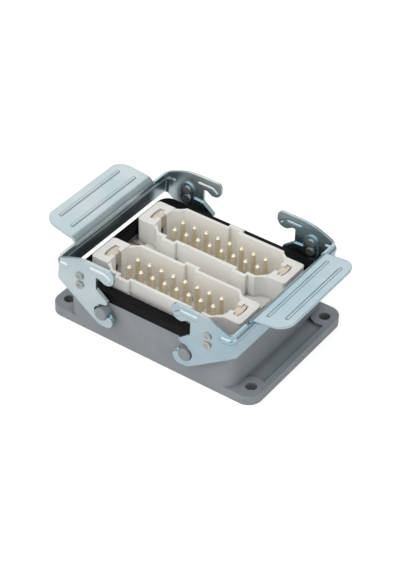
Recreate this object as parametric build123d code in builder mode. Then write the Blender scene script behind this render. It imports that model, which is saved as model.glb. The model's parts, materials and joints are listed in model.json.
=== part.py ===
from build123d import *
import math
import os

# Heavy duty rectangular connector: a surface mounting housing with two male
# sixteen pole inserts side by side and two sheet steel locking levers.
# All sizes are in millimetres. X runs along the inserts, Y across them, Z up.
# The origin lies at the middle of the mounting face.

# Housing
BODY_LENGTH = 92.0
BODY_WIDTH = 77.0
BODY_CORNER = 6.0
RIM_HEIGHT = 22.3
SIDE_WALL = 3.4
END_WALL = 3.2
CAVITY_CORNER = 2.0
FLANGE_REACH = 11.7
FLANGE_THICKNESS = 4.8
FLANGE_CORNER = 7.0
HOLE_INSET_X = 6.2
HOLE_INSET_Y = 8.0
HOLE_RADIUS = 2.75
RECESS_DEPTH = 1.3
RECESS_LIP = 3.2
HOLE_PAD_RADIUS = 6.6
LEDGE_DEPTH = 4.1
LEDGE_THICKNESS = 3.0
LEDGE_PLAY = 0.6
BOSS_RADIUS = 3.9
BOSS_LENGTH = 10.2
HALF_WIDTH = BODY_WIDTH / 2
HALF_LENGTH = BODY_LENGTH / 2
CAVITY_HALF_X = HALF_LENGTH - END_WALL
CAVITY_HALF_Y = HALF_WIDTH - SIDE_WALL
FLANGE_LENGTH = BODY_LENGTH + 2 * FLANGE_REACH
HOLE_SPACING_X = FLANGE_LENGTH - 2 * HOLE_INSET_X
HOLE_SPACING_Y = BODY_WIDTH - 2 * HOLE_INSET_Y
LEDGE_HEIGHT = RIM_HEIGHT - LEDGE_DEPTH

# Gaskets
RIM_GASKET_HEIGHT = 4.9
RIM_GASKET_SIDE = 5.2
RIM_GASKET_END = 3.6
RIM_GASKET_EDGE = 0.3
RIM_GASKET_OVERHANG = 0.6
BASE_GASKET_WIDTH = 2.0
BASE_GASKET_DEPTH = 1.5
BASE_GASKET_INSET = 0.9
BASE_GASKET_SHY = 0.1

# Inserts: two fill the housing, with a little play at the walls
INSERT_GAP = 1.6
INSERT_SIDE_PLAY = 0.3
INSERT_END_PLAY = 0.55
PLATE_LENGTH = 2 * (CAVITY_HALF_X - INSERT_END_PLAY)
PLATE_WIDTH = CAVITY_HALF_Y - INSERT_GAP / 2 - INSERT_SIDE_PLAY
PLATE_THICKNESS = 1.6
PLATE_CORNER = 2.0
PLATE_TOP = LEDGE_HEIGHT + PLATE_THICKNESS
INSERT_OFFSET = (INSERT_GAP + PLATE_WIDTH) / 2
BLOCK_INSET = 1.4
BLOCK_DEPTH = 12.2
BLOCK_WIDTH = PLATE_WIDTH - 2 * BLOCK_INSET
BLOCK_BOTTOM = LEDGE_HEIGHT - BLOCK_DEPTH
SHOULDER_THICKNESS = 3.0
SHROUD_PROUD = 10.1
END_BLOCK_PROUD = 0.5
END_BLOCK_INSET = 0.75
END_BLOCK_LENGTH = 7.9
SHOULDER_RUN = 6.0
SHOULDER_STEP = 3.65
SHROUD_INSET = 4.6
SHROUD_RIM = RIM_HEIGHT + SHROUD_PROUD
END_RIM = SHROUD_RIM + END_BLOCK_PROUD
END_BLOCK_X = PLATE_LENGTH / 2 - END_BLOCK_INSET
SHOULDER_X = END_BLOCK_X - END_BLOCK_LENGTH
MIDDLE_X = SHOULDER_X - SHOULDER_RUN
MIDDLE_HALF = PLATE_WIDTH / 2 - SHROUD_INSET
END_BLOCK_HALF = MIDDLE_HALF - SHOULDER_STEP
SHOULDER_SAG = 0.9
KEY_PROUD = 2.1
KEY_HALF = 3.9
KEY_SETBACK = 7.7
FRONT_KEY_X = MIDDLE_X - KEY_SETBACK
WALL = 1.8
KEY_WALL = 1.2
END_CORNER = 1.6
END_WALL_SETBACK = 1.4
CAVITY_END_X = SHOULDER_X - END_WALL_SETBACK
CAVITY_CHAMFER = 4.8
CAVITY_DEPTH = 18.4
CAVITY_FLOOR = SHROUD_RIM - CAVITY_DEPTH
KEYS = ((0, 1), (-FRONT_KEY_X, -1), (FRONT_KEY_X, -1))

# Contacts
POLES_PER_ROW = 8
PIN_END_ROOM = 8.75
PITCH = 2 * (CAVITY_END_X - PIN_END_ROOM) / (POLES_PER_ROW - 1)
ROW_SPACING = 6.7
PIN_RADIUS = 1.25
PIN_TIP = SHROUD_RIM - 0.5
PIN_POINT = 0.8
PIN_POINT_RADIUS = 0.55
CLAMP_LENGTH = 4.4
CLAMP_DEPTH = 5.4
CLAMP_HEIGHT = 5.2
CLAMP_BOTTOM = BLOCK_BOTTOM + 1.2
CLAMP_TOP = CLAMP_BOTTOM + CLAMP_HEIGHT
CLAMP_SHIFT = 0.9
CLAMP_GAP = 0.15
WIRE_RADIUS = 1.6
WIRE_DEPTH = 4.0
PIN_X = [(pole - (POLES_PER_ROW - 1) / 2) * PITCH for pole in range(POLES_PER_ROW)]

# Earth contacts: bent clips, D shaped in plan, in a pocket of each end block
EARTH_WIDTH = 2.6
EARTH_SETBACK = 1.0
EARTH_INNER_X = SHOULDER_X + EARTH_SETBACK
EARTH_OUTER_X = EARTH_INNER_X + EARTH_WIDTH
EARTH_HALF = 4.1
EARTH_BULGE = 0.7
EARTH_SHEET = 1.0
EARTH_BEND = 0.9
EARTH_NECK_HALF = 2.3
EARTH_NECK_X = CAVITY_END_X + 0.4
EARTH_TOP = SHROUD_RIM
EARTH_DROP = 5.8
EARTH_STEM_X = EARTH_OUTER_X - EARTH_BULGE - EARTH_SHEET
EARTH_POCKET_FLOOR = PLATE_TOP + 0.6
EARTH_GAP = 0.75

# Screws that hold the inserts
SCREW_INSET = 3.5
SCREW_SPACING_X = PLATE_LENGTH - 2 * SCREW_INSET
SCREW_SPACING_Y = PLATE_WIDTH - 2 * SCREW_INSET
SCREW_RADIUS = 1.95
SCREW_HEAD_RADIUS = 3.4
SCREW_HEAD = 2.2
SCREW_LENGTH = 9.0
SCREW_PLAY = 0.1
PLATE_PLAY = 0.2
SCREW_SLOT_WIDTH = 1.0
SCREW_SLOT_DEPTH = 1.0
BLOCK_HALF_X = SCREW_SPACING_X / 2 - SCREW_HEAD_RADIUS

# Locking levers of bent sheet, and the pegs on the long walls that they turn on
SHEET = 1.3
LEG_GAP = 3.0
LEG_INNER_Y = HALF_WIDTH + LEG_GAP
LEG_OUTER_Y = LEG_INNER_Y + SHEET
PEG_INSET = 22.6
PEG_X = HALF_LENGTH - PEG_INSET
PEG_DROP = 4.6
PEG_Z = RIM_HEIGHT - PEG_DROP
PEG_RADIUS = 3.3
PEG_PLAY = 0.1
PEG_PROUD = 1.1
PEG_CHAMFER = 0.5
PEG_END_Y = LEG_OUTER_Y + PEG_PROUD
SLOT_SHIFT = (0.5, 0.8)
PANEL_GAP = 1.3
PANEL_INNER_X = HALF_LENGTH + PANEL_GAP
PANEL_OUTER_X = PANEL_INNER_X + SHEET
PANEL_LIFT = 0.1
PANEL_HEIGHT = 11.9
PANEL_BOTTOM = RIM_HEIGHT + RIM_GASKET_HEIGHT + PANEL_LIFT
PANEL_TOP = PANEL_BOTTOM + PANEL_HEIGHT
BEND_RADIUS = 1.9
WING_START = PANEL_TOP - 1.4
WING_BEND = 3.5
WING_SLOPE = 8.6
WING_REACH = 18.6
WING_END_X = PANEL_OUTER_X + WING_REACH
WING_INSET = 8.7
WING_TAPER = 1.2
WING_ROOT_HALF = HALF_WIDTH - WING_INSET
WING_HALF = WING_ROOT_HALF - WING_TAPER
WING_CORNER = 7.0
RELIEF = 0.9
BEAD_Z = PANEL_TOP - 3.0
# The panel leans: below the wing it stands further out the lower it gets
PANEL_LEAN = 0.12
PANEL_AXIS = (-PANEL_LEAN, 0, 1)
PANEL_SHIFT = PANEL_LEAN * (WING_START - SHEET)
BEAD_INNER_X = PANEL_INNER_X + PANEL_SHIFT - PANEL_LEAN * BEAD_Z
BEAD_RUN = 4.3
BEAD_RADIUS = 2.1
ARM_BEAD_RADIUS = 2.0
RIB_RADIUS = 1.65
RIBS = ((WING_END_X - 12.6, WING_HALF - 3.2), (WING_END_X - 4.4, WING_HALF - 5.2))

# Leg outline of a lever: distance outward from the peg axis, height above it
# and the radius of that corner. The hook is at the top, the peg slot below.
PANEL_OUT = PANEL_OUTER_X - PEG_X
PANEL_LOW = PANEL_BOTTOM - PEG_Z
PANEL_HIGH = PANEL_TOP - PEG_Z
LEG_OUTLINE = (
    (1.4, -6.8, 5.0),
    (PANEL_OUT - 0.4, PANEL_LOW, 0.0),
    (PANEL_OUT + 2.6, PANEL_LOW, 0.0),
    (PANEL_OUT + 2.6, PANEL_HIGH, 0.0),
    (PANEL_OUT - 1.6, PANEL_HIGH, 3.0),
    (11.4, 26.5, 30.0),
    (-7.4, 26.5, 2.8),
    (-7.4, 18.0, 4.2),
    (-2.0, 18.0, 2.5),
    (0.9, 19.8, 1.5),
    (2.7, 19.8, 0.6),
    (2.7, 12.7, 0.8),
    (-3.8, 7.7, 0.8),
    (-3.0, 6.2, 0.5),
    (1.5, 5.2, 1.0),
    (0.5, 0.0, 0.0),
    (-4.1, -0.7, 0.5),
    (-5.6, -0.9, 0.8),
    (-6.7, -2.8, 1.2),
    (-5.0, -6.8, 3.2),
)
ARM_BEAD = ((5.6, 22.9), (-2.2, 22.9), (-5.0, 21.0))
ARM_BEAD_TURN = 2.5

# Spring blade behind each leg, held by two rivets, its arm given as the leg is
BLADE = 0.8
BLADE_HEAD_RADIUS = 4.0
BLADE_PLAY = 0.6
BLADE_OUTLINE = (
    (11.9, 13.0, 0.0),
    (2.6, 12.3, 1.5),
    (-3.5, 7.6, 0.5),
    (-2.9, 6.4, 0.4),
    (1.2, 5.3, 0.8),
    (0.4, 0.0, 0.0),
    (-3.7, 0.9, 0.2),
    (-4.9, 0.6, 0.3),
    (-6.5, -2.3, 0.6),
    (-5.0, -5.7, 2.5),
    (1.6, -5.7, 4.5),
    (9.5, -0.3, 3.0),
    (11.5, 6.5, 0.0),
)
RIVET_OUT = 11.9
RIVET_UP = 11.4
RIVET_PITCH = 4.8
RIVET_RADIUS = 1.3
RIVET_HEAD_RADIUS = 2.1
RIVET_HEAD = 0.7
RIVET_DIMPLE_RADIUS = 0.9
RIVET_DIMPLE = 0.35

QUARTER_TURN = 90.0

# Longer than anything here, for cuts that go right through
BEYOND = 3 * BODY_LENGTH

INSERTS = (("front", -INSERT_OFFSET), ("rear", INSERT_OFFSET))
ENDS = (("left", -1), ("right", 1))

os.makedirs("parts", exist_ok=True)


def save(part, node):
    """Labels a finished piece and writes it."""
    part.label = node
    export_step(part, f"parts/{node}.step")


def level(height, middle=0.0):
    """The level plane at a height, with its origin at an insert's middle."""
    return Plane((0, middle, height))


def upright(across):
    """The upright plane seen from the front, at a place across the part."""
    return Plane.XZ.offset(-across)


def from_peg(out, up):
    """A point of the right lever's leg, given from its peg axis."""
    return (PEG_X + out, PEG_Z + up)


def outline_face(corners):
    """A face from corner points given from the peg axis, each with its radius."""
    with BuildLine() as outline:
        FilletPolyline(
            *[from_peg(out, up) for out, up, _ in corners],
            radius=[radius for _, _, radius in corners],
            close=True,
        )
    make_face(outline.edges())


def base_ring():
    """The plan of the base gasket and of its groove."""
    inset = 2 * BASE_GASKET_INSET
    RectangleRounded(BODY_LENGTH - inset, BODY_WIDTH - inset, BODY_CORNER - BASE_GASKET_INSET)
    offset(amount=-BASE_GASKET_WIDTH, kind=Kind.ARC, mode=Mode.SUBTRACT)


# Housing: a die cast tube open below and above, with a flange at each end
with BuildPart() as housing:
    with BuildSketch():
        RectangleRounded(FLANGE_LENGTH, BODY_WIDTH, FLANGE_CORNER)
    extrude(amount=FLANGE_THICKNESS)
    # the sunk field of each end, which curves round the two hole pads
    recess_end = FLANGE_LENGTH / 2 - RECESS_LIP
    with BuildSketch(level(FLANGE_THICKNESS)):
        for end in (-1, 1):
            with Locations((end * (recess_end + HALF_LENGTH) / 2, 0)):
                Rectangle(recess_end - HALF_LENGTH, HOLE_SPACING_Y)
        with GridLocations(HOLE_SPACING_X, HOLE_SPACING_Y, 2, 2):
            Circle(HOLE_PAD_RADIUS, mode=Mode.SUBTRACT)
    extrude(amount=-RECESS_DEPTH, mode=Mode.SUBTRACT)
    # the tube
    with BuildSketch():
        RectangleRounded(BODY_LENGTH, BODY_WIDTH, BODY_CORNER)
    extrude(amount=RIM_HEIGHT)
    with BuildSketch():
        RectangleRounded(2 * CAVITY_HALF_X, 2 * CAVITY_HALF_Y, CAVITY_CORNER)
    extrude(amount=RIM_HEIGHT, mode=Mode.SUBTRACT)
    # a ledge across each end carries the inserts, with a boss for each screw
    ledge_start = BLOCK_HALF_X + LEDGE_PLAY
    with BuildSketch(level(LEDGE_HEIGHT)):
        for end in (-1, 1):
            with Locations((end * (ledge_start + HALF_LENGTH - END_WALL / 2) / 2, 0)):
                Rectangle(HALF_LENGTH - END_WALL / 2 - ledge_start, 2 * CAVITY_HALF_Y)
    extrude(amount=-LEDGE_THICKNESS)
    screw_places = [
        (end * SCREW_SPACING_X / 2, middle + half * SCREW_SPACING_Y / 2)
        for end in (-1, 1)
        for _, middle in INSERTS
        for half in (-1, 1)
    ]
    with BuildSketch(level(LEDGE_HEIGHT)):
        with Locations(*screw_places):
            Circle(BOSS_RADIUS)
        Rectangle(2 * ledge_start, BODY_WIDTH, mode=Mode.SUBTRACT)
    extrude(amount=-BOSS_LENGTH)
    with BuildSketch(level(LEDGE_HEIGHT)):
        with Locations(*screw_places):
            Circle(SCREW_RADIUS + SCREW_PLAY)
    extrude(amount=PLATE_THICKNESS - SCREW_LENGTH, mode=Mode.SUBTRACT)
    # the groove of the base gasket and the mounting holes
    with BuildSketch():
        base_ring()
    extrude(amount=BASE_GASKET_DEPTH, mode=Mode.SUBTRACT)
    with BuildSketch():
        with GridLocations(HOLE_SPACING_X, HOLE_SPACING_Y, 2, 2):
            Circle(HOLE_RADIUS)
    extrude(amount=FLANGE_THICKNESS, mode=Mode.SUBTRACT)
    # the four pegs that the levers hang on
    peg_root = HALF_WIDTH - SIDE_WALL / 2
    for side in (-1, 1):
        with BuildSketch(upright(side * peg_root)):
            with Locations((-PEG_X, PEG_Z), (PEG_X, PEG_Z)):
                Circle(PEG_RADIUS)
        extrude(amount=-side * (PEG_END_Y - peg_root))
    peg_ends = housing.faces().filter_by(lambda f: abs(abs(f.center().Y) - PEG_END_Y) < PEG_PLAY)
    chamfer(peg_ends.edges(), PEG_CHAMFER)
save(housing.part, "housing")

# Rim gasket: the rubber ring on the rim, a little longer than the tube
with BuildPart() as rim_gasket:
    with BuildSketch(level(RIM_HEIGHT)):
        RectangleRounded(BODY_LENGTH + 2 * RIM_GASKET_OVERHANG, BODY_WIDTH, BODY_CORNER)
        RectangleRounded(
            BODY_LENGTH - 2 * RIM_GASKET_END,
            BODY_WIDTH - 2 * RIM_GASKET_SIDE,
            BODY_CORNER - RIM_GASKET_END,
            mode=Mode.SUBTRACT,
        )
    extrude(amount=RIM_GASKET_HEIGHT)
    chamfer(rim_gasket.faces().sort_by(Axis.Z)[-1].edges(), RIM_GASKET_EDGE)
save(rim_gasket.part, "rim_gasket")

# Base gasket: a flat ring in the groove of the mounting face
with BuildPart() as base_gasket:
    with BuildSketch(level(BASE_GASKET_SHY)):
        base_ring()
    extrude(amount=BASE_GASKET_DEPTH - BASE_GASKET_SHY)
save(base_gasket.part, "base_gasket")


def shroud_plan():
    """Outer plan of the shroud's middle: wide, with hollow shoulders and three key ribs."""
    with BuildLine() as outline:
        for across in (-1, 1):
            wide = across * MIDDLE_HALF
            narrow = across * END_BLOCK_HALF
            Line((-MIDDLE_X, wide), (MIDDLE_X, wide))
            for along in (-1, 1):
                hollow = -along * across * SHOULDER_SAG
                SagittaArc((along * MIDDLE_X, wide), (along * SHOULDER_X, narrow), hollow)
        for along in (-1, 1):
            Line((along * SHOULDER_X, -END_BLOCK_HALF), (along * SHOULDER_X, END_BLOCK_HALF))
    make_face(outline.edges())
    for key_x, across in KEYS:
        with Locations((key_x, across * (MIDDLE_HALF + KEY_PROUD) / 2)):
            Rectangle(2 * KEY_HALF, MIDDLE_HALF + KEY_PROUD)


def earth_plan(end, gap=0.0):
    """Plan of an earth contact, or with a gap of the pocket round its head."""
    half = EARTH_HALF + gap / 2
    straight_end = end * (EARTH_OUTER_X - EARTH_BULGE + gap)
    with BuildLine() as outline:
        Polyline(
            (straight_end, -half),
            (end * EARTH_INNER_X, -half),
            (end * EARTH_INNER_X, half),
            (straight_end, half),
        )
        ThreePointArc((straight_end, -half), (end * (EARTH_OUTER_X + gap), 0), (straight_end, half))
    make_face(outline.edges())


# Inserts: moulded blocks with a shroud round the pins and a block at each end
for name, middle in INSERTS:
    with BuildPart() as insert:
        # terminal block, and the shoulder that closes the housing's opening
        with BuildSketch(level(BLOCK_BOTTOM, middle)):
            Rectangle(2 * BLOCK_HALF_X, BLOCK_WIDTH)
        extrude(amount=PLATE_TOP - BLOCK_BOTTOM)
        with BuildSketch(level(LEDGE_HEIGHT, middle)):
            Rectangle(2 * BLOCK_HALF_X, PLATE_WIDTH)
        extrude(amount=SHOULDER_THICKNESS)
        with BuildSketch(level(PLATE_TOP, middle)):
            shroud_plan()
        extrude(amount=SHROUD_RIM - PLATE_TOP)
        with BuildSketch(level(PLATE_TOP, middle)) as end_blocks:
            for _, end in ENDS:
                with Locations((end * (END_BLOCK_X + SHOULDER_X - WALL) / 2, 0)):
                    Rectangle(END_BLOCK_X - SHOULDER_X + WALL, 2 * END_BLOCK_HALF)
            outer = end_blocks.vertices().filter_by(lambda v: abs(v.X) > SHOULDER_X)
            fillet(outer, END_CORNER)
        extrude(amount=END_RIM - PLATE_TOP)
        # the cavity that takes the mating half
        with BuildSketch(level(CAVITY_FLOOR, middle)) as cavity:
            Rectangle(2 * CAVITY_END_X, 2 * (MIDDLE_HALF - WALL))
            chamfer(cavity.vertices(), CAVITY_CHAMFER)
            for key_x, across in KEYS:
                with Locations((key_x, across * (MIDDLE_HALF + KEY_PROUD - WALL) / 2)):
                    Rectangle(2 * (KEY_HALF - KEY_WALL), MIDDLE_HALF + KEY_PROUD - WALL)
            Rectangle(2 * EARTH_INNER_X, 2 * EARTH_NECK_HALF)
        extrude(amount=END_RIM - CAVITY_FLOOR, mode=Mode.SUBTRACT)
        # pockets for the heads of the earth contacts
        with BuildSketch(level(EARTH_POCKET_FLOOR, middle)):
            for _, end in ENDS:
                earth_plan(end, EARTH_GAP)
        extrude(amount=END_RIM - EARTH_POCKET_FLOOR, mode=Mode.SUBTRACT)
        # a pocket for each wire clamp below, and a bore for each pin
        with BuildSketch(level(BLOCK_BOTTOM, middle)):
            for row in (-1, 1):
                clamp_y = row * (ROW_SPACING / 2 + CLAMP_SHIFT)
                with Locations(*[(x, clamp_y) for x in PIN_X]):
                    Rectangle(CLAMP_LENGTH + 2 * CLAMP_GAP, CLAMP_DEPTH + 2 * CLAMP_GAP)
        extrude(amount=CLAMP_TOP - BLOCK_BOTTOM, mode=Mode.SUBTRACT)
        with BuildSketch(level(CLAMP_TOP, middle)):
            with GridLocations(PITCH, ROW_SPACING, POLES_PER_ROW, 2):
                Circle(PIN_RADIUS)
        extrude(amount=CAVITY_FLOOR - CLAMP_TOP, mode=Mode.SUBTRACT)
    save(insert.part, f"{name}_insert")

    # Contacts: a pin with a rounded point above, a clamp with a wire hole below
    pole = 0
    for row in (1, -1):
        for pin_x in PIN_X:
            pole += 1
            pin_y = middle + row * ROW_SPACING / 2
            with BuildPart() as contact:
                with BuildSketch(Plane((pin_x, pin_y, CLAMP_BOTTOM))):
                    with Locations((0, row * CLAMP_SHIFT)):
                        Rectangle(CLAMP_LENGTH, CLAMP_DEPTH)
                extrude(amount=CLAMP_TOP - CLAMP_BOTTOM)
                with BuildSketch(Plane((pin_x, pin_y, CLAMP_BOTTOM))):
                    with Locations((0, row * CLAMP_SHIFT)):
                        Circle(WIRE_RADIUS)
                extrude(amount=WIRE_DEPTH, mode=Mode.SUBTRACT)
                with BuildSketch(Plane((pin_x, pin_y, CLAMP_TOP))):
                    Circle(PIN_RADIUS)
                extrude(amount=PIN_TIP - PIN_POINT - CLAMP_TOP)
                with Locations((pin_x, pin_y, PIN_TIP - PIN_POINT / 2)):
                    Cone(PIN_RADIUS, PIN_POINT_RADIUS, PIN_POINT)
            save(contact.part, f"{name}_contact_{pole:02d}")

    # Earth contacts: a D shaped top, bent down at the slot, on a stem behind it
    for end_name, end in ENDS:
        with BuildPart() as earth_contact:
            with BuildSketch(level(EARTH_TOP, middle)):
                earth_plan(end)
                with Locations((end * (EARTH_NECK_X + EARTH_OUTER_X - EARTH_BULGE) / 2, 0)):
                    Rectangle(EARTH_OUTER_X - EARTH_BULGE - EARTH_NECK_X, 2 * EARTH_NECK_HALF)
            extrude(amount=-EARTH_SHEET)
            for sheet_x, drop in ((EARTH_NECK_X, EARTH_DROP), (EARTH_STEM_X, EARTH_TOP - EARTH_POCKET_FLOOR)):
                with BuildSketch(level(EARTH_TOP, middle)):
                    with Locations((end * (sheet_x + EARTH_SHEET / 2), 0)):
                        Rectangle(EARTH_SHEET, 2 * EARTH_NECK_HALF)
                extrude(amount=-drop)
            inner_face = earth_contact.faces().sort_by(lambda f: abs(f.center().X))[0]
            fillet(inner_face.edges().sort_by(Axis.Z)[-1], EARTH_BEND)
        save(earth_contact.part, f"{name}_{end_name}_earth_contact")

        # End plates: steel plates under the end blocks, screwed to the ledges
        with BuildPart() as end_plate:
            with BuildSketch(level(LEDGE_HEIGHT, middle)) as plate_plan:
                with Locations((end * (PLATE_LENGTH / 2 + BLOCK_HALF_X) / 2, 0)):
                    Rectangle(PLATE_LENGTH / 2 - BLOCK_HALF_X, PLATE_WIDTH)
                outer = plate_plan.vertices().filter_by(lambda v: abs(v.X) > SCREW_SPACING_X / 2)
                fillet(outer, PLATE_CORNER)
                with Locations(*[(end * SCREW_SPACING_X / 2, half * SCREW_SPACING_Y / 2) for half in (-1, 1)]):
                    Circle(SCREW_RADIUS + PLATE_PLAY, mode=Mode.SUBTRACT)
            extrude(amount=PLATE_THICKNESS)
        save(end_plate.part, f"{name}_{end_name}_end_plate")

    # Fixing screws: four slotted cheese head screws for each insert
    with BuildPart() as fixing_screws:
        with BuildSketch(level(PLATE_TOP, middle)):
            with GridLocations(SCREW_SPACING_X, SCREW_SPACING_Y, 2, 2):
                Circle(SCREW_HEAD_RADIUS)
        extrude(amount=SCREW_HEAD)
        with BuildSketch(level(PLATE_TOP, middle)):
            with GridLocations(SCREW_SPACING_X, SCREW_SPACING_Y, 2, 2):
                Circle(SCREW_RADIUS)
        extrude(amount=-SCREW_LENGTH)
        with BuildSketch(level(PLATE_TOP + SCREW_HEAD, middle)):
            with GridLocations(SCREW_SPACING_X, SCREW_SPACING_Y, 2, 2):
                Rectangle(2 * SCREW_HEAD_RADIUS, SCREW_SLOT_WIDTH)
        extrude(amount=-SCREW_SLOT_DEPTH, mode=Mode.SUBTRACT)
    save(fixing_screws.part, f"{name}_fixing_screws")


def u_outline(half, reach, corner):
    """Plan of a U that is open towards the middle of the part and closed at its end."""
    with BuildLine() as outline:
        FilletPolyline((0, -half), (reach, -half), (reach, half), (0, half), radius=corner)
        Line((0, half), (0, -half))
    make_face(outline.edges())


# The space inside the lever's bent sheet
with BuildPart() as lever_inside:
    with BuildSketch():
        u_outline(LEG_INNER_Y, PANEL_INNER_X + PANEL_SHIFT, BEND_RADIUS)
    extrude(amount=BEYOND, dir=PANEL_AXIS)


def panel_bead(radius):
    """A half round stiffening bead that runs across the panel and round both bends."""
    bead_end = BEAD_INNER_X - BEAD_RUN
    with BuildPart() as bead:
        with BuildLine(level(BEAD_Z)) as path:
            FilletPolyline(
                (bead_end, -LEG_INNER_Y),
                (BEAD_INNER_X, -LEG_INNER_Y),
                (BEAD_INNER_X, LEG_INNER_Y),
                (bead_end, LEG_INNER_Y),
                radius=BEND_RADIUS,
            )
        with BuildSketch(Plane.YZ.offset(bead_end)):
            with Locations((-LEG_INNER_Y, BEAD_Z)):
                Circle(radius)
                Rectangle(2 * radius, 2 * radius, align=(Align.MIN, Align.CENTER), mode=Mode.SUBTRACT)
        sweep(path=path.line)
        with Locations((bead_end, -LEG_INNER_Y, BEAD_Z), (bead_end, LEG_INNER_Y, BEAD_Z)):
            Sphere(radius)
        add(lever_inside.part, mode=Mode.SUBTRACT)
    return bead.part


def arm_beads(radius):
    """A half round bead along each hook arm, turned down at the hook's tip."""
    with BuildPart() as beads:
        for side in (-1, 1):
            with BuildLine(upright(side * LEG_INNER_Y)) as path:
                FilletPolyline(*[from_peg(*point) for point in ARM_BEAD], radius=ARM_BEAD_TURN)
            start = path.line @ 0
            with BuildSketch(Plane(start, x_dir=(0, side, 0), z_dir=path.line % 0)):
                Circle(radius)
                Rectangle(2 * radius, 2 * radius, align=(Align.MAX, Align.CENTER), mode=Mode.SUBTRACT)
            sweep(path=path.line)
            with Locations(path.line @ 0, path.line @ 1):
                Sphere(radius)
        add(lever_inside.part, mode=Mode.SUBTRACT)
    return beads.part


# Wing: the handle plate, bent outward from the panel and rounded at its corners
with BuildPart() as wing:
    with BuildSketch(upright(-WING_ROOT_HALF)):
        with BuildLine():
            root = Line(
                (PANEL_INNER_X + SHEET / 2, WING_START - SHEET),
                (PANEL_INNER_X + SHEET / 2, WING_START),
            )
            bend = JernArc(start=root @ 1, tangent=root % 1, radius=WING_BEND, arc_size=WING_SLOPE - QUARTER_TURN)
            flat_length = (WING_END_X - (bend @ 1).X) / math.cos(math.radians(WING_SLOPE))
            flat_run = PolarLine(bend @ 1, flat_length, direction=bend % 1)
        trace(line_width=SHEET)
    extrude(amount=-2 * WING_ROOT_HALF)
    with BuildSketch(level(0)) as wing_plan:
        with BuildLine():
            FilletPolyline(
                (0, -WING_ROOT_HALF),
                (PANEL_OUTER_X + WING_BEND, -WING_ROOT_HALF),
                (WING_END_X, -WING_HALF),
                (WING_END_X, WING_HALF),
                (PANEL_OUTER_X + WING_BEND, WING_ROOT_HALF),
                (0, WING_ROOT_HALF),
                radius=(WING_CORNER, WING_CORNER, WING_CORNER, WING_CORNER),
            )
            Line((0, WING_ROOT_HALF), (0, -WING_ROOT_HALF))
        make_face()
    extrude(amount=BEYOND, mode=Mode.INTERSECT)
slope = math.radians(WING_SLOPE)
wing_lift = Vector(-math.sin(slope), 0, math.cos(slope))
flat_start = flat_run @ 0
wing_under = Vector(flat_start.X, 0, flat_start.Y) - wing_lift * SHEET / 2


def wing_ribs(radius):
    """Two half round ribs along the wing."""
    with BuildPart() as ribs:
        for rib_x, half in RIBS:
            out = rib_x - wing_under.X
            centre = (rib_x, wing_under.Z + out * math.tan(slope))
            reach = half - radius
            with BuildSketch(upright(-reach)):
                with Locations(centre):
                    Circle(radius)
            extrude(amount=-2 * reach)
            with Locations((centre[0], -reach, centre[1]), (centre[0], reach, centre[1])):
                Sphere(radius)
        split(bisect_by=Plane(wing_under, z_dir=wing_lift), keep=Keep.TOP)
    return ribs.part


# Right lever: one bent and stamped sheet with two legs, a panel and the wing
with BuildPart() as right_lever:
    with BuildSketch():
        u_outline(LEG_OUTER_Y, PANEL_OUTER_X + PANEL_SHIFT, BEND_RADIUS + SHEET)
    extrude(amount=PEG_Z + PANEL_HIGH + PANEL_TOP, dir=PANEL_AXIS)
    add(lever_inside.part, mode=Mode.SUBTRACT)
    with BuildSketch(upright(-BEYOND / 2)):
        outline_face(LEG_OUTLINE)
        with Locations(from_peg(0, 0), from_peg(*SLOT_SHIFT)):
            Circle(PEG_RADIUS + PEG_PLAY, mode=Mode.SUBTRACT)
    extrude(amount=-BEYOND, mode=Mode.INTERSECT)
    # the panel gives way to the wing, with a relief cut at each side of it
    with BuildSketch(level(WING_START - SHEET / 2)):
        with Locations((PANEL_INNER_X + SHEET / 2, 0)):
            Rectangle(4 * SHEET, 2 * (WING_ROOT_HALF + RELIEF))
    extrude(amount=PANEL_TOP, mode=Mode.SUBTRACT)
    add(wing.part)
    add(panel_bead(BEAD_RADIUS))
    add(arm_beads(ARM_BEAD_RADIUS))
    add(wing_ribs(RIB_RADIUS))
    add(panel_bead(BEAD_RADIUS - SHEET), mode=Mode.SUBTRACT)
    add(arm_beads(ARM_BEAD_RADIUS - SHEET), mode=Mode.SUBTRACT)
    add(wing_ribs(RIB_RADIUS - SHEET), mode=Mode.SUBTRACT)
    # rivet holes
    rivet_places = [from_peg(RIVET_OUT, RIVET_UP), from_peg(RIVET_OUT, RIVET_UP + RIVET_PITCH)]
    with BuildSketch(upright(-BEYOND / 2)):
        with Locations(*rivet_places):
            Circle(RIVET_RADIUS)
    extrude(amount=-BEYOND, mode=Mode.SUBTRACT)
save(right_lever.part, "right_lever")
with BuildPart() as left_lever:
    add(right_lever.part.mirror(Plane.YZ))
save(left_lever.part, "left_lever")

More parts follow.
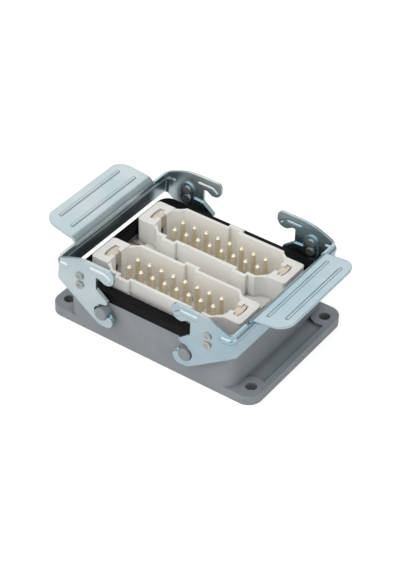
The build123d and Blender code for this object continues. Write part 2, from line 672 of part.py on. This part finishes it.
# Spring blades and rivets: behind each leg a blade that hooks round the peg
for side_name, side in (("front", -1), ("rear", 1)):
    blade_inner_y = LEG_INNER_Y - BLADE
    with BuildPart() as blade:
        with BuildSketch(upright(side * blade_inner_y)):
            with Locations(from_peg(RIVET_OUT, RIVET_UP + RIVET_PITCH / 2)):
                SlotCenterToCenter(RIVET_PITCH, 2 * BLADE_HEAD_RADIUS, rotation=90)
            outline_face(BLADE_OUTLINE)
            with Locations(from_peg(0, 0)):
                Circle(PEG_RADIUS + BLADE_PLAY, mode=Mode.SUBTRACT)
            with Locations(*rivet_places):
                Circle(RIVET_RADIUS, mode=Mode.SUBTRACT)
        extrude(amount=-side * BLADE)
    with BuildPart() as rivets:
        for face_y, radius, reach in (
            (blade_inner_y, RIVET_RADIUS, BLADE + SHEET),
            (blade_inner_y, RIVET_HEAD_RADIUS, -RIVET_HEAD),
            (LEG_OUTER_Y, RIVET_HEAD_RADIUS, RIVET_HEAD),
        ):
            with BuildSketch(upright(side * face_y)):
                with Locations(*rivet_places):
                    Circle(radius)
            extrude(amount=-side * reach)
        with BuildSketch(upright(side * (LEG_OUTER_Y + RIVET_HEAD))):
            with Locations(*rivet_places):
                Circle(RIVET_DIMPLE_RADIUS)
        extrude(amount=side * RIVET_DIMPLE, mode=Mode.SUBTRACT)
    for end_name, end in ENDS:
        for piece, word in ((blade, "spring_blade"), (rivets, "rivets")):
            with BuildPart() as placed:
                add(piece.part if end > 0 else piece.part.mirror(Plane.YZ))
            save(placed.part, f"{end_name}_lever_{side_name}_{word}")
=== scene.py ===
"""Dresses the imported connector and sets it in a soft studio, seen as in the photograph."""

import json
import math

import bpy
from mathutils import Matrix, Vector

MM = 0.001
WHITE = (1.0, 1.0, 1.0)

# Camera, fitted to the photograph: angles in degrees, distances in millimetres
AZIMUTH = 34.29
ELEVATION = 38.78
ROLL = 1.6
DISTANCE = 873.4
SIDEWAYS = 1.66
UPWARD = 14.23
FOCAL_PIXELS = 1857.4
SENSOR = 36.0
LONG_SIDE = 570
NEAREST_SEEN = 50 * MM

# Soft boxes: name, place in metres, width, height, power in watts, colour
SOFT_BOXES = (
    ("key", (-0.25, -0.93, 0.74), 2.0, 1.6, 12.0, (1.0, 0.99, 0.97)),
    ("back", (-0.50, 0.75, 0.73), 0.9, 0.9, 1.85, (1.0, 0.96, 0.935)),
    ("side", (1.05, -0.10, 0.45), 1.2, 0.9, 3.2, (0.92, 0.97, 1.0)),
)
LIT_POINT = (0.0, 0.0, 20 * MM)
# The surroundings: dark at the horizon, brighter above
HORIZON_LIGHT = 0.08
UPPER_LIGHT = 0.50
FADE_FROM, FADE_TO = 0.05, 0.45
# The floor as light falls on it, and as the camera sees it: a white backdrop with a soft shadow
FLOOR_HALF = 3.0
FLOOR_COLOUR = (0.80, 0.80, 0.80)
BACKDROP_COLOUR = (0.48, 0.48, 0.48)
BACKDROP_LIFT = 0.72
# How much of that backdrop metal reflects, of the floor and of the space behind it
FLOOR_SHARE = 0.5
SPACE_SHARE = 0.08

# What every finish shares: softened edges, uneven gloss, and the noise of its tone and of its grain
BEVEL = 0.25 * MM
BEVEL_SAMPLES = 6
GLOSS_DRIFT = 0.05
TONE_DETAIL = 3.0
TONE_FROM, TONE_TO = 0.35, 0.65
GRAIN_DETAIL = 2.0
# The painted edge highlight begins where the softened normal leaves the true one by this cosine, and is full at
# the second
HIGHLIGHT_FROM, HIGHLIGHT_TO = 0.98, 0.75
HIGHLIGHT_SHARE = 0.7
# Painted shade in recesses is full where this share of the surroundings is open
SHADE_FULL = 0.1
SHADE_SAMPLES = 8

# Finishes: two tones, roughness, grains per millimetre, height of the grain in millimetres, and what
# differs from the usual. Painted highlight is the lighter colour painted along the edges. Painted shade is how
# far the recess looks, the open share at which the painted shade ends, its colour
FINISHES = {
    "die_cast_paint": dict(
        low=(0.253, 0.277, 0.294), high=(0.279, 0.303, 0.319), roughness=0.48, grain=1.5, bump=0.055,
        # The lighter edge colour on this paint is a painted highlight, and its dark recess colour is painted
        # shade
        patch=0.12, bevel=0.5 * MM, specular=0.3, painted_highlight=(0.46, 0.48, 0.50),
        painted_shade=(8.0 * MM, 0.70, (0.006, 0.007, 0.008)),
    ),
    "seal_rubber": dict(
        low=(0.003, 0.003, 0.004), high=(0.009, 0.009, 0.010), roughness=0.6, grain=1.5, bump=0.02,
        patch=0.5, specular=0.10, streak=(0.15, 0.15, 2.0),
    ),
    "contact_moulding": dict(
        low=(0.86, 0.847, 0.812), high=(0.895, 0.883, 0.846), roughness=0.45, grain=1.2, bump=0.008,
        # The dark colour here is painted shade deep in the moulding's slots and recesses
        bevel=0.45 * MM, specular=0.3, painted_shade=(5.0 * MM, 0.62, (0.10, 0.095, 0.085)),
    ),
    "contact_metal": dict(
        low=(0.85, 0.755, 0.59), high=(0.92, 0.84, 0.69), roughness=0.34, grain=2.0, bump=0.002,
        patch=0.3, metallic=0.7, bevel=0.3 * MM,
    ),
    "earth_metal": dict(
        low=(0.56, 0.50, 0.42), high=(0.64, 0.57, 0.49), roughness=0.32, grain=2.0, bump=0.003,
        patch=0.3, metallic=0.85,
    ),
    "fixing_steel": dict(
        low=(0.58, 0.54, 0.49), high=(0.72, 0.68, 0.62), roughness=0.38, grain=2.0, bump=0.006,
        patch=0.2, metallic=0.9,
    ),
    "left_lever_sheet": dict(
        low=(0.47, 0.59, 0.63), high=(0.58, 0.655, 0.675), roughness=0.31, grain=1.6, bump=0.0003,
        patch=0.05, metallic=1.0, bevel=0.45 * MM,
    ),
    "right_lever_sheet": dict(
        low=(0.375, 0.515, 0.585), high=(0.485, 0.575, 0.625), roughness=0.25, grain=1.6, bump=0.0003,
        patch=0.05, metallic=1.0, bevel=0.45 * MM,
    ),
    "blade_steel": dict(
        low=(0.40, 0.54, 0.61), high=(0.50, 0.63, 0.68), roughness=0.28, grain=1.6, bump=0.0006,
        patch=0.15, metallic=1.0,
    ),
    "rivet_steel": dict(
        low=(0.42, 0.44, 0.43), high=(0.52, 0.54, 0.52), roughness=0.42, grain=1.6, bump=0.001,
        patch=0.2, metallic=1.0,
    ),
}


def node_adder(tree):
    """A helper that adds a node to a tree, links its sources and sets its values."""

    def add(kind, sources=None, **values):
        node = tree.nodes.new("ShaderNode" + kind)
        for key, value in values.items():
            setattr(node, key, value)
        for socket, source in (sources or {}).items():
            if hasattr(source, "links"):
                tree.links.new(source, node.inputs[socket])
            else:
                node.inputs[socket].default_value = source
        return node

    return add


def new_material(name):
    """A material with its shader and a helper that adds nodes to it."""
    material = bpy.data.materials.new(name)
    material.use_nodes = True
    return material, material.node_tree.nodes["Principled BSDF"], node_adder(material.node_tree)


def blend(add, share, first, second):
    """The colour that goes from the first to the second as the share rises."""
    return add("Mix", {"Factor": share, 6: first, 7: second}, data_type="RGBA").outputs[2]


def opaque(colour):
    """A colour with its alpha."""
    return (*colour, 1.0)


def make_camera():
    """The photograph's camera."""
    a, e, r = math.radians(AZIMUTH), math.radians(ELEVATION), math.radians(ROLL)
    back = Vector((math.sin(a) * math.cos(e), -math.cos(a) * math.cos(e), math.sin(e)))
    level_right = Vector((math.cos(a), math.sin(a), 0.0))
    level_up = back.cross(level_right)
    right = level_right * math.cos(r) + level_up * math.sin(r)
    up = level_up * math.cos(r) - level_right * math.sin(r)
    place = (back * DISTANCE + right * SIDEWAYS + up * UPWARD) * MM
    data = bpy.data.cameras.new("camera")
    data.sensor_width = SENSOR
    data.lens = FOCAL_PIXELS * SENSOR / LONG_SIDE
    data.clip_start = NEAREST_SEEN
    camera = bpy.data.objects.new("camera", data)
    turn = Matrix((right, up, back)).transposed().to_4x4()
    camera.matrix_world = Matrix.Translation(place) @ turn
    bpy.context.scene.collection.objects.link(camera)
    bpy.context.scene.camera = camera


def add_light(name, place, width, height, power, colour):
    """A soft box that shines at the connector."""
    data = bpy.data.lights.new(name, "AREA")
    data.shape = "RECTANGLE"
    data.size = width
    data.size_y = height
    data.energy = power
    data.color = colour
    light = bpy.data.objects.new(name, data)
    light.location = place
    light.rotation_euler = (Vector(LIT_POINT) - light.location).to_track_quat("-Z", "Y").to_euler()
    bpy.context.scene.collection.objects.link(light)


def seen_share(add, share):
    """1 for rays from the camera or through glass, a share for reflections, else 0."""
    rays = add("LightPath")
    value = add("Math", {0: rays.outputs["Is Glossy Ray"], 1: share}, operation="MULTIPLY").outputs["Value"]
    for direct in ("Is Camera Ray", "Is Transmission Ray"):
        value = add("Math", {0: rays.outputs[direct], 1: value}, operation="MAXIMUM").outputs["Value"]
    return value


def make_floor():
    """The pale floor, which shows as a white backdrop that keeps the shadow."""
    mesh = bpy.data.meshes.new("floor")
    corners = [(-1, -1), (1, -1), (1, 1), (-1, 1)]
    mesh.from_pydata([(x * FLOOR_HALF, y * FLOOR_HALF, 0.0) for x, y in corners], [], [(0, 1, 2, 3)])
    floor = bpy.data.objects.new("floor", mesh)
    bpy.context.scene.collection.objects.link(floor)
    material, shader, add = new_material("floor")
    links = material.node_tree.links
    seen = seen_share(add, FLOOR_SHARE)
    tint = blend(add, seen, opaque(FLOOR_COLOUR), opaque(BACKDROP_COLOUR))
    lift = add("Math", {0: seen, 1: BACKDROP_LIFT}, operation="MULTIPLY")
    links.new(tint, shader.inputs["Base Color"])
    links.new(lift.outputs["Value"], shader.inputs["Emission Strength"])
    shader.inputs["Emission Color"].default_value = opaque(WHITE)
    shader.inputs["Roughness"].default_value = 1.0
    shader.inputs["Specular IOR Level"].default_value = 0.0
    mesh.materials.append(material)


def make_world():
    """White surroundings that brighten upward as light, and are plain white to the camera."""
    world = bpy.data.worlds.new("studio")
    world.use_nodes = True
    tree = world.node_tree
    add = node_adder(tree)
    height = add("SeparateXYZ", {"Vector": add("TexCoord").outputs["Generated"]})
    fade = add(
        "MapRange",
        {
            "Value": height.outputs["Z"],
            "From Min": FADE_FROM,
            "From Max": FADE_TO,
            "To Min": HORIZON_LIGHT,
            "To Max": UPPER_LIGHT,
        },
    )
    bright = add("Math", {0: fade.outputs["Result"], 1: seen_share(add, SPACE_SHARE)}, operation="MAXIMUM")
    background = tree.nodes["Background"]
    background.inputs["Color"].default_value = opaque(WHITE)
    tree.links.new(bright.outputs["Value"], background.inputs["Strength"])
    bpy.context.scene.world = world


def make_studio():
    """Pale floor, surroundings and soft boxes."""
    make_floor()
    make_world()
    for soft_box in SOFT_BOXES:
        add_light(*soft_box)
    bpy.context.scene.view_settings.view_transform = "Standard"


def per_mm(add):
    """Object coordinates counted in millimetres."""
    coordinates = add("TexCoord")
    scaled = add("VectorMath", {0: coordinates.outputs["Object"], 1: (1 / MM,) * 3}, operation="MULTIPLY")
    return scaled.outputs["Vector"]


def two_tone(add, place, scale, low, high):
    """A colour that drifts between two tones in patches."""
    noise = add("TexNoise", {"Vector": place, "Scale": scale, "Detail": TONE_DETAIL})
    ramp = add("ValToRGB", {"Fac": noise.outputs["Fac"]})
    stops = ramp.color_ramp.elements
    stops[0].position, stops[1].position = TONE_FROM, TONE_TO
    stops[0].color, stops[1].color = opaque(low), opaque(high)
    return ramp.outputs["Color"]


def paint_edge_highlight(add, tone, soft_normal, colour):
    """Paints a lighter colour along the edges as a highlight, where the softened normal leaves the true one."""
    true_normal = add("NewGeometry").outputs["Normal"]
    level = add("VectorMath", {0: soft_normal, 1: true_normal}, operation="DOT_PRODUCT")
    painted_highlight = add(
        "MapRange",
        {"Value": level.outputs["Value"], "From Min": HIGHLIGHT_FROM, "From Max": HIGHLIGHT_TO, "To Max": HIGHLIGHT_SHARE},
    )
    return blend(add, painted_highlight.outputs["Result"], tone, opaque(colour))


def darken_recesses(add, tone, reach, open_share, colour):
    """Paints shade: a dark colour deep in a piece's own recesses."""
    openness = add("AmbientOcclusion", {"Distance": reach}, samples=SHADE_SAMPLES, only_local=True)
    recess_shade = add(
        "MapRange",
        {
            "Value": openness.outputs["AO"],
            "From Min": SHADE_FULL,
            "From Max": open_share,
            "To Min": 1.0,
            "To Max": 0.0,
        },
    )
    return blend(add, recess_shade.outputs["Result"], tone, opaque(colour))


def surface(
    name, low, high, roughness, grain, bump,
    metallic=0.0, patch=0.08, bevel=BEVEL, specular=0.5, streak=None, painted_highlight=None, painted_shade=None,
):
    """A procedural finish: drifting tone, uneven gloss, fine grain and softened edges, perhaps with a painted
    edge highlight or painted shade in recesses.
    """
    material, shader, add = new_material(name)
    links = material.node_tree.links
    place = per_mm(add)
    drift = place
    if streak:
        drift = add("VectorMath", {0: place, 1: streak}, operation="MULTIPLY").outputs["Vector"]
    soft_normal = add("Bevel", {"Radius": bevel}, samples=BEVEL_SAMPLES).outputs["Normal"]
    tone = two_tone(add, drift, patch, low, high)
    # Painted highlight: a lighter colour along the edges
    if painted_highlight:
        tone = paint_edge_highlight(add, tone, soft_normal, painted_highlight)
    # Painted shade: a dark colour deep in recesses
    if painted_shade:
        tone = darken_recesses(add, tone, *painted_shade)
    fine = add("TexNoise", {"Vector": place, "Scale": grain, "Detail": GRAIN_DETAIL}).outputs["Fac"]
    gloss = add(
        "MapRange", {"Value": fine, "To Min": roughness - GLOSS_DRIFT, "To Max": roughness + GLOSS_DRIFT}
    )
    relief = add("Bump", {"Height": fine, "Distance": bump * MM, "Strength": 1.0, "Normal": soft_normal})
    links.new(tone, shader.inputs["Base Color"])
    links.new(gloss.outputs["Result"], shader.inputs["Roughness"])
    links.new(relief.outputs["Normal"], shader.inputs["Normal"])
    shader.inputs["Metallic"].default_value = metallic
    shader.inputs["Specular IOR Level"].default_value = specular
    return material


def dress_nodes(frame):
    """Gives each CAD node the finish of its material slot, and each lever the tint of its own sheet."""
    finishes = {name: surface(name, **finish) for name, finish in FINISHES.items()}
    for part in frame["record"]["subparts"]:
        node = part["node"]
        finish = finishes.get(f"{node}_sheet") or finishes[part["material_slot"]]
        for slot in frame["nodes"][node].material_slots:
            slot.material = finish


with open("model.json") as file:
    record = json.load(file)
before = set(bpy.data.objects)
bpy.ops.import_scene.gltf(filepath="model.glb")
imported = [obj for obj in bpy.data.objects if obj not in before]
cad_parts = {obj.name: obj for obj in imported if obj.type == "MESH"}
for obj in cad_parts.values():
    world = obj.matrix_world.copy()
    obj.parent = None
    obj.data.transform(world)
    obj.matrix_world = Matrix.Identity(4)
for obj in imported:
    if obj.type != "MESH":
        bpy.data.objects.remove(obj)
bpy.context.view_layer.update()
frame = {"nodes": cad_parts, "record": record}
make_camera()
make_studio()
dress_nodes(frame)
